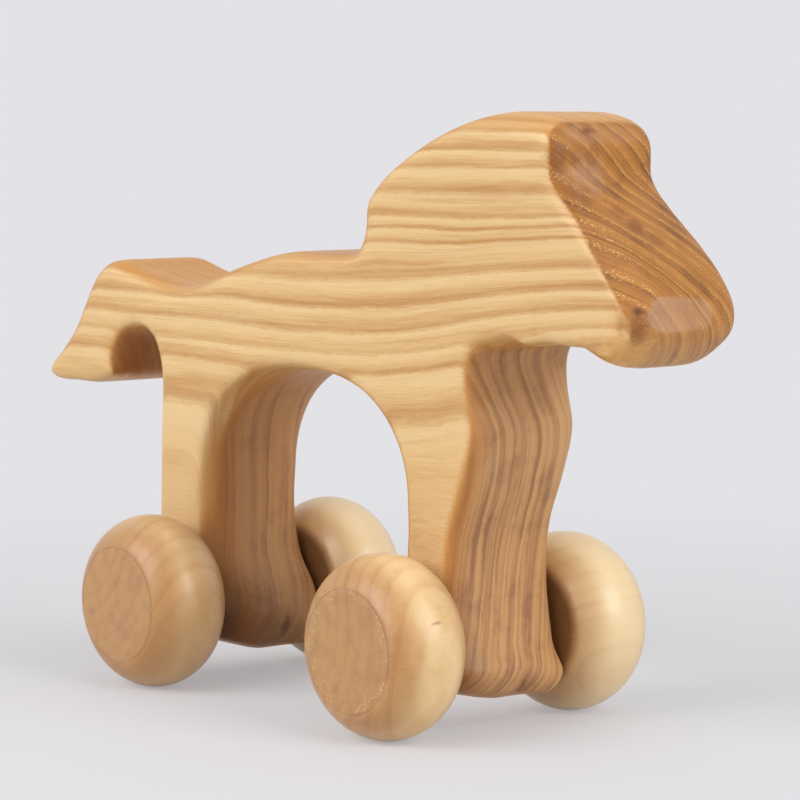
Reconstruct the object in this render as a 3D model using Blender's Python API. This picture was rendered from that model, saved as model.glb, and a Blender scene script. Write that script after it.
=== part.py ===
"""Wheeled horse: a push toy sawn from one board, rolling on four turned wheels with two dowel axles.

Metres, +Z up. +X points to the nose, +Y to the horse's left. The origin is on the floor, halfway between
the tail tip and the nose, in the middle of the board.
"""

import math

import bmesh
import bpy
from mathutils import Matrix, Vector

MM = 0.001

# Board
BOARD_THICKNESS = 27 * MM

# Rounded edges: (depth into the saw line, width across the board)
BACK_EDGE = (3.5 * MM, 4 * MM)
MANE_EDGE = (2.4 * MM, 3.5 * MM)
FRONT_EDGE = (2.2 * MM, 6.5 * MM)
NOSE_EDGE = (3.6 * MM, 7.6 * MM)
MUZZLE_EDGE = (4.6 * MM, 8 * MM)
THROAT_EDGE = (2.2 * MM, 3.5 * MM)
CORNER_EDGE = (4 * MM, 5 * MM)
FOOT_EDGE = (5.5 * MM, 13 * MM)
TAIL_TIP_EDGE = (1.3 * MM, 2 * MM)
EDGE_CURVE_SHARE = 0.8  # largest depth on an outward bend, as a share of the bend's radius
EDGE_GROWTH = 0.35  # most that the depth may change along the saw line
EDGE_WIDTH_SHARE = 0.97  # largest width, as a share of half the board

# Wheels
WHEEL_DIAMETER = 35 * MM
WHEEL_WIDTH = 18.4 * MM
WHEEL_FACE_DIAMETER = 23.8 * MM
WHEEL_SIDE_PLAY = 0.8 * MM

# Dowel axles: they turn in the legs and are glued into blind holes in the wheels
AXLE_DIAMETER = 8 * MM
AXLE_RUNNING_GAP = 0.3 * MM
AXLE_SEAT_DEPTH = 12 * MM
GLUE_GAP = 0.3 * MM

# Main sizes of the horse, lengthwise
WHEELBASE = 72 * MM
NOSE_REACH = 55.6 * MM
TAIL_REACH = 52.6 * MM

# Main sizes of the horse, upwards from the axles
CROWN_HEIGHT = 98.8 * MM
SADDLE_HEIGHT = 71.7 * MM
TAIL_TIP_HEIGHT = 43.6 * MM
FOOT_DROP = 12.3 * MM

# Arch between the legs
ARCH_WIDTH = 62 * MM
ARCH_HEIGHT = 48 * MM
ARCH_SPRING_HEIGHT = 23.5 * MM
ARCH_SETBACK = 2.25 * MM
ARCH_FULLNESS = 2.3
ARCH_POINTS = 11

# Slot between the tail and the rear leg
SLOT_WIDTH = 14.7 * MM
SLOT_HEIGHT = 53.7 * MM
REAR_LEG_SETBACK = 12.7 * MM
REAR_LEG_STRAIGHT = (6 * MM, 36 * MM)
SLOT_POINTS = 5

# Saw line of the horse: (forward, up) in millimetres from the place named
TAIL_FROM_TIP = [(0.6, 1.4), (3.6, 4.4), (9.5, 10.5), (14.0, 17.5), (17.0, 21.5), (22.1, 24.5), (30.6, 22.7)]
RUMP_FROM_REAR_SADDLE = [(-4.0, -8.3), (11.0, -4.0), (28.0, -0.2)]
WITHERS_FROM_FRONT_SADDLE = [(-30.0, 0.0), (-21.6, 1.1), (-19.6, 6.0)]
MANE_FROM_CROWN = [(-36.8, -17.7), (-33.3, -13.5), (-24.4, -7.8), (-12.6, -2.9)]
CROWN_FROM_CROWN = [(0.0, 0.0), (8.5, -0.4)]
CROWN_BACK_OF_NOSE = 38.1 * MM
BROW_FROM_CROWN = [(14.0, -2.4), (16.3, -6.5), (16.0, -11.3), (20.2, -16.1)]
MUZZLE_FROM_NOSE = [(-9.3, 12.8), (-3.5, 6.6)]
NOSE_TIP_FROM_NOSE = [(0.0, 1.2), (-0.7, -3.4)]
CHIN_FROM_NOSE = [(-4.0, -6.9), (-8.2, -9.2), (-12.1, -8.8)]
NOSE_DROP = 36.3 * MM
THROAT_FROM_FRONT_AXLE = [(39.5, 56.9), (33.0, 56.4), (22.0, 56.2)]
CORNER_FROM_FRONT_AXLE = [(15.0, 55.6)]
SHIN_FROM_FRONT_AXLE = [
    (12.1, 51.6), (12.3, 47.5), (13.9, 41.0), (11.2, 30.1), (7.6, 19.9), (7.0, 10.5), (8.6, -0.5),
]
HOOF_FROM_FRONT_FOOT = [(11.3, 5.6), (9.0, 2.0), (4.6, 0.1), (-2.6, 0.0), (-7.4, 1.8), (-9.9, 5.4)]
HEEL_FROM_FRONT_FOOT = [(-8.6, 13.5)]
HOCK_FROM_REAR_AXLE = [(2.7, 15.5), (4.5, 7.5), (9.5, 1.0)]
HOOF_FROM_REAR_FOOT = [(11.5, 5.8), (9.2, 2.1), (4.6, 0.1), (-5.0, 0.0), (-10.0, 1.8), (-12.6, 5.6)]
TAIL_BASE_FROM_TIP = [(24.6, 0.1), (20.2, -1.7), (8.6, -2.2), (2.4, -2.1), (0.6, -1.3)]

# Fineness of the meshes
SAW_LINE_STEP = 3 * MM
EDGE_ROUND_STEPS = 4
WHEEL_TURN_STEPS = 48
TREAD_STEPS = 10
AXLE_TURN_STEPS = 32
SMOOTH_ANGLE = math.radians(30)
MERGE_DISTANCE = 0.003 * MM

# Woods: linear colour and roughness
ASH = ((0.66, 0.40, 0.17), 0.5)
BIRCH = ((0.72, 0.50, 0.26), 0.45)
BEECH = ((0.62, 0.40, 0.22), 0.6)

# Places that follow from the sizes
LENGTH = TAIL_REACH + WHEELBASE + NOSE_REACH
AXLE_HEIGHT = WHEEL_DIAMETER / 2
REAR_AXLE_X = -LENGTH / 2 + TAIL_REACH
FRONT_AXLE_X = REAR_AXLE_X + WHEELBASE
WHEEL_INNER_Y = BOARD_THICKNESS / 2 + WHEEL_SIDE_PLAY
AXLE_HALF_LENGTH = WHEEL_INNER_Y + AXLE_SEAT_DEPTH


def clear_scene():
    for item in list(bpy.data.objects):
        bpy.data.objects.remove(item, do_unlink=True)


def wood(name, colour, roughness):
    material = bpy.data.materials.new(name)
    material.use_nodes = True
    shader = material.node_tree.nodes["Principled BSDF"]
    shader.inputs["Base Color"].default_value = (*colour, 1.0)
    shader.inputs["Roughness"].default_value = roughness
    shader.inputs["Metallic"].default_value = 0.0
    return material


def add_object(name, mesh, material, parent=None):
    item = bpy.data.objects.new(name, mesh)
    bpy.context.collection.objects.link(item)
    mesh.materials.append(material)
    item.parent = parent
    return item


def finish_mesh(name, bm):
    """Turn a bmesh into a mesh with outward faces, smooth on its round stretches."""
    bmesh.ops.recalc_face_normals(bm, faces=bm.faces)
    mesh = bpy.data.meshes.new(name)
    bm.to_mesh(mesh)
    bm.free()
    mesh.shade_smooth()
    mesh.set_sharp_from_angle(angle=SMOOTH_ANGLE)
    return mesh


# The horse

def placed(points, x, z, edge):
    """Points given in millimetres from (x, z), as (x, z, edge depth, edge width) in metres."""
    return [Vector((x + forward * MM, z + up * MM, *edge)) for forward, up in points]


def arch_points():
    """Top of the arch, from the front leg over to the rear leg, on a full-bodied ellipse."""
    middle = (FRONT_AXLE_X + REAR_AXLE_X) / 2 - ARCH_SETBACK
    spring = AXLE_HEIGHT + ARCH_SPRING_HEIGHT
    points = []
    for step in range(ARCH_POINTS):
        angle = math.pi * step / (ARCH_POINTS - 1)
        across = math.copysign(abs(math.cos(angle)) ** (2 / ARCH_FULLNESS), math.cos(angle))
        along = abs(math.sin(angle)) ** (2 / ARCH_FULLNESS)
        x = middle + ARCH_WIDTH / 2 * across
        z = spring + (ARCH_HEIGHT - ARCH_SPRING_HEIGHT) * along
        points.append(Vector((x, z, *FRONT_EDGE)))
    return points


def slot_points():
    """Round end of the slot, from the back of the rear leg over to the tail."""
    radius = SLOT_WIDTH / 2
    middle = REAR_AXLE_X - REAR_LEG_SETBACK - radius
    spring = AXLE_HEIGHT + SLOT_HEIGHT - radius
    points = []
    for step in range(SLOT_POINTS):
        angle = math.pi * step / (SLOT_POINTS - 1)
        x = middle + radius * math.cos(angle)
        z = spring + radius * math.sin(angle)
        points.append(Vector((x, z, *FRONT_EDGE)))
    return points


def saw_line_anchors():
    """The horse's outline as (x, z, edge depth, edge width), clockwise from the tail tip to the nose."""
    tip_x = -LENGTH / 2
    tip_z = AXLE_HEIGHT + TAIL_TIP_HEIGHT
    nose_x = LENGTH / 2
    crown_x = nose_x - CROWN_BACK_OF_NOSE
    crown_z = AXLE_HEIGHT + CROWN_HEIGHT
    nose_z = crown_z - NOSE_DROP
    saddle_z = AXLE_HEIGHT + SADDLE_HEIGHT
    foot_z = AXLE_HEIGHT - FOOT_DROP
    leg_back_x = REAR_AXLE_X - REAR_LEG_SETBACK
    line = [Vector((tip_x, tip_z, *TAIL_TIP_EDGE))]
    line += placed(TAIL_FROM_TIP, tip_x, tip_z, BACK_EDGE)
    line += placed(RUMP_FROM_REAR_SADDLE, REAR_AXLE_X, saddle_z, BACK_EDGE)
    line += placed(WITHERS_FROM_FRONT_SADDLE, FRONT_AXLE_X, saddle_z, BACK_EDGE)
    line += placed(MANE_FROM_CROWN, crown_x, crown_z, MANE_EDGE)
    line += placed(CROWN_FROM_CROWN, crown_x, crown_z, BACK_EDGE)
    line += placed(BROW_FROM_CROWN, crown_x, crown_z, FRONT_EDGE)
    line += placed(MUZZLE_FROM_NOSE, nose_x, nose_z, FRONT_EDGE)
    line += placed(NOSE_TIP_FROM_NOSE, nose_x, nose_z, NOSE_EDGE)
    line += placed(CHIN_FROM_NOSE, nose_x, nose_z, MUZZLE_EDGE)
    line += placed(THROAT_FROM_FRONT_AXLE, FRONT_AXLE_X, AXLE_HEIGHT, THROAT_EDGE)
    line += placed(CORNER_FROM_FRONT_AXLE, FRONT_AXLE_X, AXLE_HEIGHT, CORNER_EDGE)
    line += placed(SHIN_FROM_FRONT_AXLE, FRONT_AXLE_X, AXLE_HEIGHT, FRONT_EDGE)
    line += placed(HOOF_FROM_FRONT_FOOT, FRONT_AXLE_X, foot_z, FOOT_EDGE)
    line += placed(HEEL_FROM_FRONT_FOOT, FRONT_AXLE_X, foot_z, FRONT_EDGE)
    line += arch_points()
    line += placed(HOCK_FROM_REAR_AXLE, REAR_AXLE_X, AXLE_HEIGHT, FRONT_EDGE)
    line += placed(HOOF_FROM_REAR_FOOT, REAR_AXLE_X, foot_z, FOOT_EDGE)
    line += [Vector((leg_back_x, AXLE_HEIGHT + rise, *FRONT_EDGE)) for rise in REAR_LEG_STRAIGHT]
    line += slot_points()
    line += placed(TAIL_BASE_FROM_TIP, tip_x, tip_z, TAIL_TIP_EDGE)
    return line


def smooth_closed_line(anchors, step):
    """A smooth closed curve through the anchors, sampled about every step along its length."""
    count = len(anchors)
    chords = [(anchors[(i + 1) % count] - anchors[i]) for i in range(count)]
    lengths = [chord.length for chord in chords]
    tangents = []
    for i in range(count):
        before = lengths[i - 1]
        after = lengths[i]
        pull = chords[i - 1] / before * after + chords[i] / after * before
        tangents.append(pull / (before + after))
    samples = []
    for i in range(count):
        start = anchors[i]
        end = anchors[(i + 1) % count]
        start_pull = tangents[i] * lengths[i]
        end_pull = tangents[(i + 1) % count] * lengths[i]
        pieces = max(1, round(lengths[i] / step))
        for piece in range(pieces):
            t = piece / pieces
            start_weight = 2 * t**3 - 3 * t**2 + 1
            end_weight = 3 * t**2 - 2 * t**3
            point = start * start_weight + end * end_weight
            point += start_pull * (t**3 - 2 * t**2 + t) + end_pull * (t**3 - t**2)
            samples.append(point)
    return samples


def inward_normals(line):
    """Unit vectors in (x, z) from each point of a clockwise line into the board."""
    normals = []
    for i, point in enumerate(line):
        ahead = line[(i + 1) % len(line)] - line[i - 1]
        normals.append(Vector((ahead.y, -ahead.x)).normalized())
    return normals


def limit_edges(line, thickness):
    """Keep each point's edge inside its curve and the board, and let it deepen only gently along the line."""
    count = len(line)
    gaps = [(line[i].xy - line[i - 1].xy).length for i in range(count)]
    for i, point in enumerate(line):
        point.w = min(point.w, thickness / 2 * EDGE_WIDTH_SHARE)
        arriving = point.xy - line[i - 1].xy
        leaving = line[(i + 1) % count].xy - point.xy
        outward_bend = arriving.angle_signed(leaving)
        if outward_bend > 0:
            curve_radius = (arriving.length + leaving.length) / 2 / outward_bend
            point.z = min(point.z, curve_radius * EDGE_CURVE_SHARE)
    for i in list(range(count)) * 2:
        line[i].z = min(line[i].z, line[i - 1].z + EDGE_GROWTH * gaps[i])
    for i in list(range(count - 1, -1, -1)) * 2:
        line[i - 1].z = min(line[i - 1].z, line[i].z + EDGE_GROWTH * gaps[i])


def rounded_board_mesh(name, line, thickness, round_steps):
    """A board sawn along the line, lofted across its thickness with edges rounded on quarter ellipses."""
    normals = inward_normals(line)
    bm = bmesh.new()
    rings = []
    for side in (-1, 1):
        turns = range(round_steps, -1, -1) if side < 0 else range(round_steps + 1)
        for turn in turns:
            angle = math.pi / 2 * turn / round_steps
            ring = []
            for point, normal in zip(line, normals):
                inset = point.z * (1 - math.cos(angle))
                y = side * (thickness / 2 - point.w * (1 - math.sin(angle)))
                ring.append(bm.verts.new((point.x + normal.x * inset, y, point.y + normal.y * inset)))
            rings.append(ring)
    for ring, next_ring in zip(rings, rings[1:]):
        for i in range(len(line)):
            bm.faces.new((ring[i - 1], ring[i], next_ring[i], next_ring[i - 1]))
    bm.faces.new(rings[0])
    bm.faces.new(rings[-1])
    return finish_mesh(name, bm)


def cylinder_mesh(name, radius, length, steps):
    """A cylinder centred on the origin, with its axis along Y."""
    bm = bmesh.new()
    turn = Matrix.Rotation(math.pi / 2, 4, "X")
    bmesh.ops.create_cone(
        bm, cap_ends=True, segments=steps, radius1=radius, radius2=radius, depth=length, matrix=turn
    )
    return finish_mesh(name, bm)


def add_horse(material):
    line = smooth_closed_line(saw_line_anchors(), SAW_LINE_STEP)
    limit_edges(line, BOARD_THICKNESS)
    mesh = rounded_board_mesh("horse_body", line, BOARD_THICKNESS, EDGE_ROUND_STEPS)
    horse = add_object("horse_body", mesh, material)
    for name, x in (("front_axle_hole", FRONT_AXLE_X), ("rear_axle_hole", REAR_AXLE_X)):
        hole_radius = AXLE_DIAMETER / 2 + AXLE_RUNNING_GAP
        hole = add_object(
            name, cylinder_mesh(name, hole_radius, 2 * BOARD_THICKNESS, AXLE_TURN_STEPS), material, horse
        )
        hole.location = (x, 0, AXLE_HEIGHT)
        hole.hide_render = True
        hole.display_type = "WIRE"
        drill = horse.modifiers.new(name, "BOOLEAN")
        drill.operation = "DIFFERENCE"
        drill.solver = "EXACT"
        drill.object = hole


# The wheels and axles

def wheel_profile():
    """Half section of a wheel as (radius, distance out from its inner face), hole to outer face."""
    face_radius = WHEEL_FACE_DIAMETER / 2
    half_width = WHEEL_WIDTH / 2
    crown = WHEEL_DIAMETER / 2 - face_radius
    tread_radius = (half_width**2 + crown**2) / (2 * crown)
    tread_centre = WHEEL_DIAMETER / 2 - tread_radius
    lean = math.asin(half_width / tread_radius)
    hole_radius = AXLE_DIAMETER / 2 + GLUE_GAP
    hole_depth = AXLE_SEAT_DEPTH + GLUE_GAP
    profile = [(0, hole_depth), (hole_radius, hole_depth), (hole_radius, 0)]
    for step in range(TREAD_STEPS + 1):
        angle = lean * (2 * step / TREAD_STEPS - 1)
        radius = tread_centre + tread_radius * math.cos(angle)
        profile.append((radius, half_width + tread_radius * math.sin(angle)))
    profile.append((0, WHEEL_WIDTH))
    return profile


def wheel_mesh(name, side):
    """A turned wheel round the Y axis, its inner face at the board's side, with a blind hole for the axle."""
    bm = bmesh.new()
    section = [bm.verts.new((radius, side * (WHEEL_INNER_Y + out), 0)) for radius, out in wheel_profile()]
    edges = [bm.edges.new(pair) for pair in zip(section, section[1:])]
    bmesh.ops.spin(
        bm, geom=section + edges, cent=(0, 0, 0), axis=(0, 1, 0), angle=math.tau, steps=WHEEL_TURN_STEPS,
        use_merge=True,
    )
    bmesh.ops.remove_doubles(bm, verts=bm.verts, dist=MERGE_DISTANCE)
    return finish_mesh(name, bm)


def add_wheelset(end, axle_x, wheel_material, axle_material):
    """One dowel with its two wheels, hung on an empty that lies on the axle's line."""
    wheelset = bpy.data.objects.new(f"{end}_wheelset", None)
    bpy.context.collection.objects.link(wheelset)
    wheelset.location = (axle_x, 0, AXLE_HEIGHT)
    axle_name = f"{end}_axle"
    axle_mesh = cylinder_mesh(axle_name, AXLE_DIAMETER / 2, 2 * AXLE_HALF_LENGTH, AXLE_TURN_STEPS)
    add_object(axle_name, axle_mesh, axle_material, wheelset)
    for hand, side in (("left", 1), ("right", -1)):
        wheel_name = f"{end}_{hand}_wheel"
        add_object(wheel_name, wheel_mesh(wheel_name, side), wheel_material, wheelset)


def main():
    clear_scene()
    ash = wood("oiled_ash", *ASH)
    birch = wood("oiled_birch", *BIRCH)
    beech = wood("beech_dowel", *BEECH)
    add_horse(ash)
    add_wheelset("front", FRONT_AXLE_X, birch, beech)
    add_wheelset("rear", REAR_AXLE_X, birch, beech)


main()
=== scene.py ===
import math
from types import SimpleNamespace

import bmesh
import bpy
import numpy as np
from mathutils import Matrix, Vector, noise
from mathutils.kdtree import KDTree


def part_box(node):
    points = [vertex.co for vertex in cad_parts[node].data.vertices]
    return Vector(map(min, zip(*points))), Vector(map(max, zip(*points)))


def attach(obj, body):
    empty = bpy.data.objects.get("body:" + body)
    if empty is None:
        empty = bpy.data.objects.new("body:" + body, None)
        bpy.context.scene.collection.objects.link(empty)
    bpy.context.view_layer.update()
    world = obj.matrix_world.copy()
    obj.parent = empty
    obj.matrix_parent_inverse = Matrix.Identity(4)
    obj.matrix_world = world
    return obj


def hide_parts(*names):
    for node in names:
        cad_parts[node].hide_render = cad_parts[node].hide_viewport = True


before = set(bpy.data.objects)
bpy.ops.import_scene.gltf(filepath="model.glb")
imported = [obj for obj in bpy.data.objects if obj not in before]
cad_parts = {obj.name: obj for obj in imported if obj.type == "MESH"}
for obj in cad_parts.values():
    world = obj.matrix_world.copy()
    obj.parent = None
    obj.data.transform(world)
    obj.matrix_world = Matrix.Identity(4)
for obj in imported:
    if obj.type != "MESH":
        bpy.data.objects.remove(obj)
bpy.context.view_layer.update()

MM = 0.001

# Camera, at the photograph's viewing angle
CAMERA_TARGET = Vector((11.75, 0, 60.43)) * MM
CAMERA_AZIMUTH = math.radians(48.93)
CAMERA_ELEVATION = math.radians(5.08)
CAMERA_ROLL = math.radians(0.19)
CAMERA_DISTANCE = 584 * MM
CAMERA_LENS = 135
CAMERA_SENSOR = 36
CAMERA_CLIP = 10 * MM

# Studio, in metres
PALE_GREY = (0.768, 0.762, 0.790, 1.0)
FLOOR_COLOUR = (0.79, 0.79, 0.815, 1.0)
FLOOR_BOUNCE = (0.60, 0.57, 0.55, 1.0)
FLOOR_ROUGHNESS = 0.7
FLOOR_GLOSS = 0.2
# Painted light: the share of the floor that glows near the horse, which lightens the shadows there
FLOOR_LIFT = 0.4
FLOOR_REACH = 3.0
FLOOR_FADE = (0.10, 0.36)
TENT_WHITE = (1.0, 0.995, 0.99, 1.0)
SKY_STRENGTH = 0.36

# Each softbox: its place, its size and its power in watts
SOFTBOXES = {
    "front_softbox": ((-0.22, -0.92, 0.60), 0.8, 7.3),
    "right_softbox": ((0.95, 0.10, 0.50), 0.6, 5.4),
    "top_softbox": ((0.10, 0.20, 1.10), 0.9, 1.7),
}

# Sanding of the horse: the fine mesh's step in millimetres, how often it is rubbed and how much each time
FINE_MESH = 0.68
SANDING_PASSES = 12
SANDING_CUT = 0.5

# Vertices closer than this are one, in metres
MERGE_DISTANCE = 0.002 * MM

# Places sanded harder, on either side of the board: place, reach and passes, in millimetres
HARD_SANDING = {
    "chin": ((82.0, 12.0, 73.0), 8.0, 12),
    "throat": ((47.5, 13.0, 72.5), 8.0, 12),
}

# Flats left by the knife, in millimetres: a place on each, the way it faces, its reach, the softness of its
# border, and how freshly cut it looks, a paler tint that is partly fresh wood and partly painted sheen off
# the flat
KNIFE_FLATS = {
    "muzzle": ((79.6, -13.3, 88.6), (0.58, -0.67, 0.46), 15.0, 0.2, 0.2),
    "nose": ((89.2, -3.6, 80.0), (0.98, -0.02, 0.17), 9.0, 0.06, 1.0),
    "crown": ((58.0, -12.0, 113.8), (0.05, -0.64, 0.77), 16.0, 0.5, 0.0),
    "forelock": ((67.2, -2.0, 111.5), (0.84, 0.0, 0.54), 13.0, 0.08, 0.5),
    "rear_foot": ((-36.0, 0.5, 5.2), (0.0, -0.30, -0.95), 24.0, 0.4, 0.0),
    "front_foot": ((36.0, 0.0, 5.2), (0.0, -0.22, -0.98), 24.0, 0.4, 0.0),
}

# How much of a flat's reach is its border, and how deep a cut takes the full fresh tint and painted sheen, in
# millimetres
FLAT_BORDER = 0.3
FRESH_AND_SHEEN_DEPTH = 0.12

# How much the top and the bottom count as cut across the fibres, next to the ends
TOP_SLANT = 0.32

# How golden an upright edge is, next to one that faces up
EDGE_GLOW = 0.5

# The nick in the forelock: both ends, depth and width, in millimetres
NICK_ENDS = ((66.4, -4.0, 112.8), (66.4, 0.6, 112.8))
NICK_DEPTH = 0.5
NICK_WIDTH = 0.7

# Scallops that the knife left along the throat, in millimetres: place along, rise and reach
SCALLOPS = ((55.2, 0.8, 4.7), (65.7, 0.6, 6.4))
THROAT_HEIGHT = 74.6
THROAT_REACH = 3.0

# The rounded edge under each foot, in millimetres, and how much squarer it is left on the far side
FOOT_TOP = 11.0
FOOT_BLEND = 5.0
FOOT_EDGE_DEPTH = 5.5
FOOT_EDGE_WIDTH = 13.0
FOOT_EDGE_START = 0.5
FOOT_SQUARENESS = 4.0

# How far the far side of each toe and heel hangs lower, in millimetres, and where that starts and ends. The
# reach is counted from the axle, and nothing past the span is moved.
TOE_DROP = 2.6
TOE_HEIGHTS = (9.0, 23.0)
TOE_SIDES = (2.0, 12.0)
TOE_REACH = (5.0, 10.0)
FOOT_SPAN = 30.0

# Slow waves left by sanding by hand, in millimetres
WAVE_DEPTH = 0.22
WAVE_LENGTH = 14.0

# Wheels, as turned, in metres. The usual sizes stand in the tree's inputs until a wheel sets its own.
USUAL_WHEEL_DIAMETER = 35 * MM
USUAL_WHEEL_WIDTH = 18 * MM
USUAL_PITH_DISTANCE = 20 * MM
DISC_DIAMETER = 23.2 * MM
DISC_EDGE_SOFTNESS = 1.6 * MM
AXLE_HOLE_DIAMETER = 8.6 * MM
AXLE_HOLE_DEPTH = 12.3 * MM

# Mesh of a wheel: steps from face to face and round the axle, the least cosine that a length is divided by,
# and the angle past which an edge stays sharp
SECTION_STEPS = 128
TURN_STEPS = 96
LEAST_COSINE = 0.01
SMOOTH_ANGLE = math.radians(35)

# Each wheel's blank: how far it is turned about the axle, how far its middle lay from the pith, and its
# painted
# shading: how much darker its tread is painted than the usual, as shade, and how much paler where that is
# negative, as light
BLANKS = {
    "front_right_wheel": (math.radians(-103), 21 * MM, 0.0),
    "front_left_wheel": (math.radians(60), 26 * MM, -0.75),
    "rear_right_wheel": (math.radians(225), 24 * MM, 0.35),
    "rear_left_wheel": (math.radians(300), 30 * MM, -0.9),
}

# A dark dash in one blank, in millimetres
DASH_PLACE = (-1.3, -9.9, 35.1)
DASH_SIZE = (1.9, 0.6, 0.6)

# Growth rings of the ash board, in millimetres from the pith, which lay outside the board
ASH_PITH = (0.0, -61.0, 39.0)
FIRST_RING = 42.5
RING_WIDTHS = (
    4.0, 4.4, 4.0, 2.0, 2.4, 2.9, 3.4, 5.2, 2.2, 1.7, 3.5,
    3.8, 2.6, 2.9, 2.7, 2.8, 2.4, 2.6, 2.6, 2.4, 3.0, 3.0,
)

# Where the fibres rise over the knot in the muzzle, in millimetres, and out to how many sizes from it
SWIRL_CENTRE = (92.0, -12.0, 70.0)
SWIRL_SIZE = (34.0, 60.0, 16.0)
SWIRL_RISE = 10.0
SWIRL_OUTSIDE = 2.2

# How the fibres wander, slowly and quickly: how fast each way, per millimetre, in how much detail, and how
# far, in millimetres
WANDERS = (
    ((0.012, 0.035, 0.035), 1.0, 5.0),
    ((0.05, 0.2, 0.2), 2.0, 1.3),
)

# How far each pattern is drawn out along the fibres and across them
STREAK_DRAW = (0.03, 1.0, 1.0)
PORE_DRAW = (0.2, 1.0, 1.0)
FUZZ_DRAW = (0.16, 1.0, 1.0)
BLOTCH_DRAW = (0.5, 1.0, 1.0)
MOTTLE_DRAW = (0.2, 0.1, 0.1)
STRIPE_ALONG = 0.015
STRIPE_ROUND = 0.03

# Noise behind each pattern: its fineness per millimetre, its detail and, where it isn't the usual, its
# roughness
FUZZ = (2.2, 3.0, 0.7)
ASH_BLOTCHES = (0.14, 3.0, 0.6)
LINE_PATCHES = (0.4, 3.0)
MOTTLE = (1.0, 3.0)
GRIT = (3.0, 2.0)
DISC_BLOTCHES = (0.3, 4.0, 0.6)
DISC_FRAY = (0.8, 3.0)
SPOT_RAGS = (0.5, 3.0)
RUBBED_PATCHES = (0.09, 2.0)

# Detail and roughness of the noise behind streaks and stripes
STREAK_NOISE = (3.0, 0.6)

# The share of the wander that each wood has, the fineness of its streaks, stripes and specks, per millimetre,
# the spacing of its pores, in millimetres, and their size next to that
ASH_WANDER = 0.55
ASH_STREAKS = 1.7
ASH_FIBRES = 4.5
WIDE_STRIPES = 0.55
FINE_STRIPES = 2.0
LEG_STRIPES = 0.95
ASH_PORES = {"Spacing": 0.5, "Size": 0.4}
BIRCH_WANDER = 0.8
BIRCH_STREAKS = 1.1
BIRCH_SPECKS = 2.0
BEECH_STREAKS = 1.3
BEECH_PORES = {"Spacing": 0.9, "Size": 0.3}

# From here on, a fade has the level where something starts to show, the level where it shows in full and,
# where that isn't 0 and 1, how much of it shows at each. A slope, which is named as one, has a rise and a
# start.

# Fades over a ring of ash, from its start at 0 to its end at 1
EARLY_WOOD = (0.85, 0.0)
EARLY_START = (0.0, 0.28)
PORE_ZONE = (0.3, 0.05)
SEAM_AGE = 0.16
SEAM_FADE = (0.26, 0.0, 0.0, 0.3)
SILKY_WOOD = (0.55, 1.0, 0.0, 0.35)
LATE_WOOD = (0.3, 0.9)
LINE_AGE = 0.05
LINE_WIDTH = 0.28
LEG_LINE_WIDTH = 0.18
LINE_CORE = 0.04

# Fades over the board, in millimetres from its middle and the floor
LEG_HEIGHTS = (84.0, 62.0)
THIGH_HEIGHTS = (38.0, 62.0)
CROWN_HEIGHTS = (97.0, 109.0, 0.0, -0.12)
FACE_START = (58.0, 66.0)
OUTER_SIDES = (3.0, 11.0)
FRESH_AND_SHEEN_SIDES = (6.0, -7.0, 0.35, 0.58)
FRONT_LEG_EDGE = (-8.0, -12.5)
REAR_LEG_EDGE = (-2.5, -8.0)
REAR_LEG_START = (-8.0, -18.0)
REAR_SILK_HEIGHTS = (66.0, 52.0, 0.0, 0.4)
REAR_ROUND_SIDES = (-5.5, -10.0, 0.0, -0.55)
REAR_ROUND_BOTTOM = (24.0, 38.0)
REAR_ROUND_TOP = (66.0, 54.0)

# Fades for the places that little light reaches: beside the near wheels, low on the rear leg, under the tail
BESIDE_WHEEL_SIDES = (-5.0, -12.5)
BESIDE_WHEEL_HEIGHTS = (36.0, 12.0)
BESIDE_WHEEL_CUT = (0.1, 0.5)
BESIDE_WHEEL_SLOPE = (0.35, 0.5)
LOW_LEG_HEIGHTS = (40.0, 6.0, 0.0, 0.45)
TAIL_SLOT_FRONT = (-50.0, -55.0)
TAIL_SLOT_BACK = (-82.0, -74.0, 0.0, 0.25)
TAIL_SLOT_HEIGHTS = (76.0, 68.0)

# Long grain of the ash: how its bands, stripes, fibres and pores show
BAND_CURVE = 1.3
BAND_YEAR_SLOPE = (0.5, 0.5)
BAND_STREAK_SLOPE = (0.9, 0.5)
WIDE_STRIPE_DARK = (0.45, 0.75, 0.0, 0.5)
FINE_STRIPE_DARK = (0.5, 0.8, 0.0, 0.5)
FINE_STRIPE_PALE = (0.5, 0.25, 0.0, 0.4)
FIBRE_PALE = (0.5, 0.25, 0.0, 0.35)
FIBRE_DARK = (0.5, 0.78, 0.0, 0.35)
PORE_DARK = 0.2
SEAM_BY_STREAK = 1.6
EDGE_GOLD = (0.03, 0.45, 0.0, 0.55)

# End grain of the ash: how its stripes, blotches and lines show, and how much of them the legs lack
BLOTCH_DARK = (0.45, 0.72, 0.0, 0.52)
LATE_YEAR_SLOPE = (0.5, 0.1)
END_STRIPE_DARK = (0.4, 0.75, -0.15, 0.72)
END_STRIPE_PALE = (0.42, 0.25, 0.0, 0.6)
LINE_BY_PATCH = (0.35, 0.65, 0.3, 0.85)
LINE_BY_PORE = 0.7
UNBROKEN_SLOPE = (-0.35, 0.6)
LEG_LINE_LOSS = 0.5
REAR_LINE_LOSS = 0.6
REAR_DARK_LOSS = 0.35
REAR_THIGH_LOSS = 0.7
# Painted light: how much paler the top of a leg is made, where the head and body shade it
THIGH_PALE = 0.5
THIGH_DARK = 0.4
LEG_EDGE_SHARE = 0.6

# Border between the ash's long grain and end grain, by how squarely the fibres are cut. It is crisper on the
# face.
FUZZ_BY_CUT = (0.1, 0.5, 0.5, 0.3)
CUT_FUZZ = 0.25
SLANT_CUT = (0.12, 0.55)
SLANT_FACE_SLOPE = (-0.4, 0.76)
ACROSS_START = 0.36
ACROSS_FACE_SLOPE = (-0.2, 0.76)
FLECK_CUT = (0.34, 0.55, 0.0, 0.7)
LEG_FLECK_LOSS = 0.8

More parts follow.
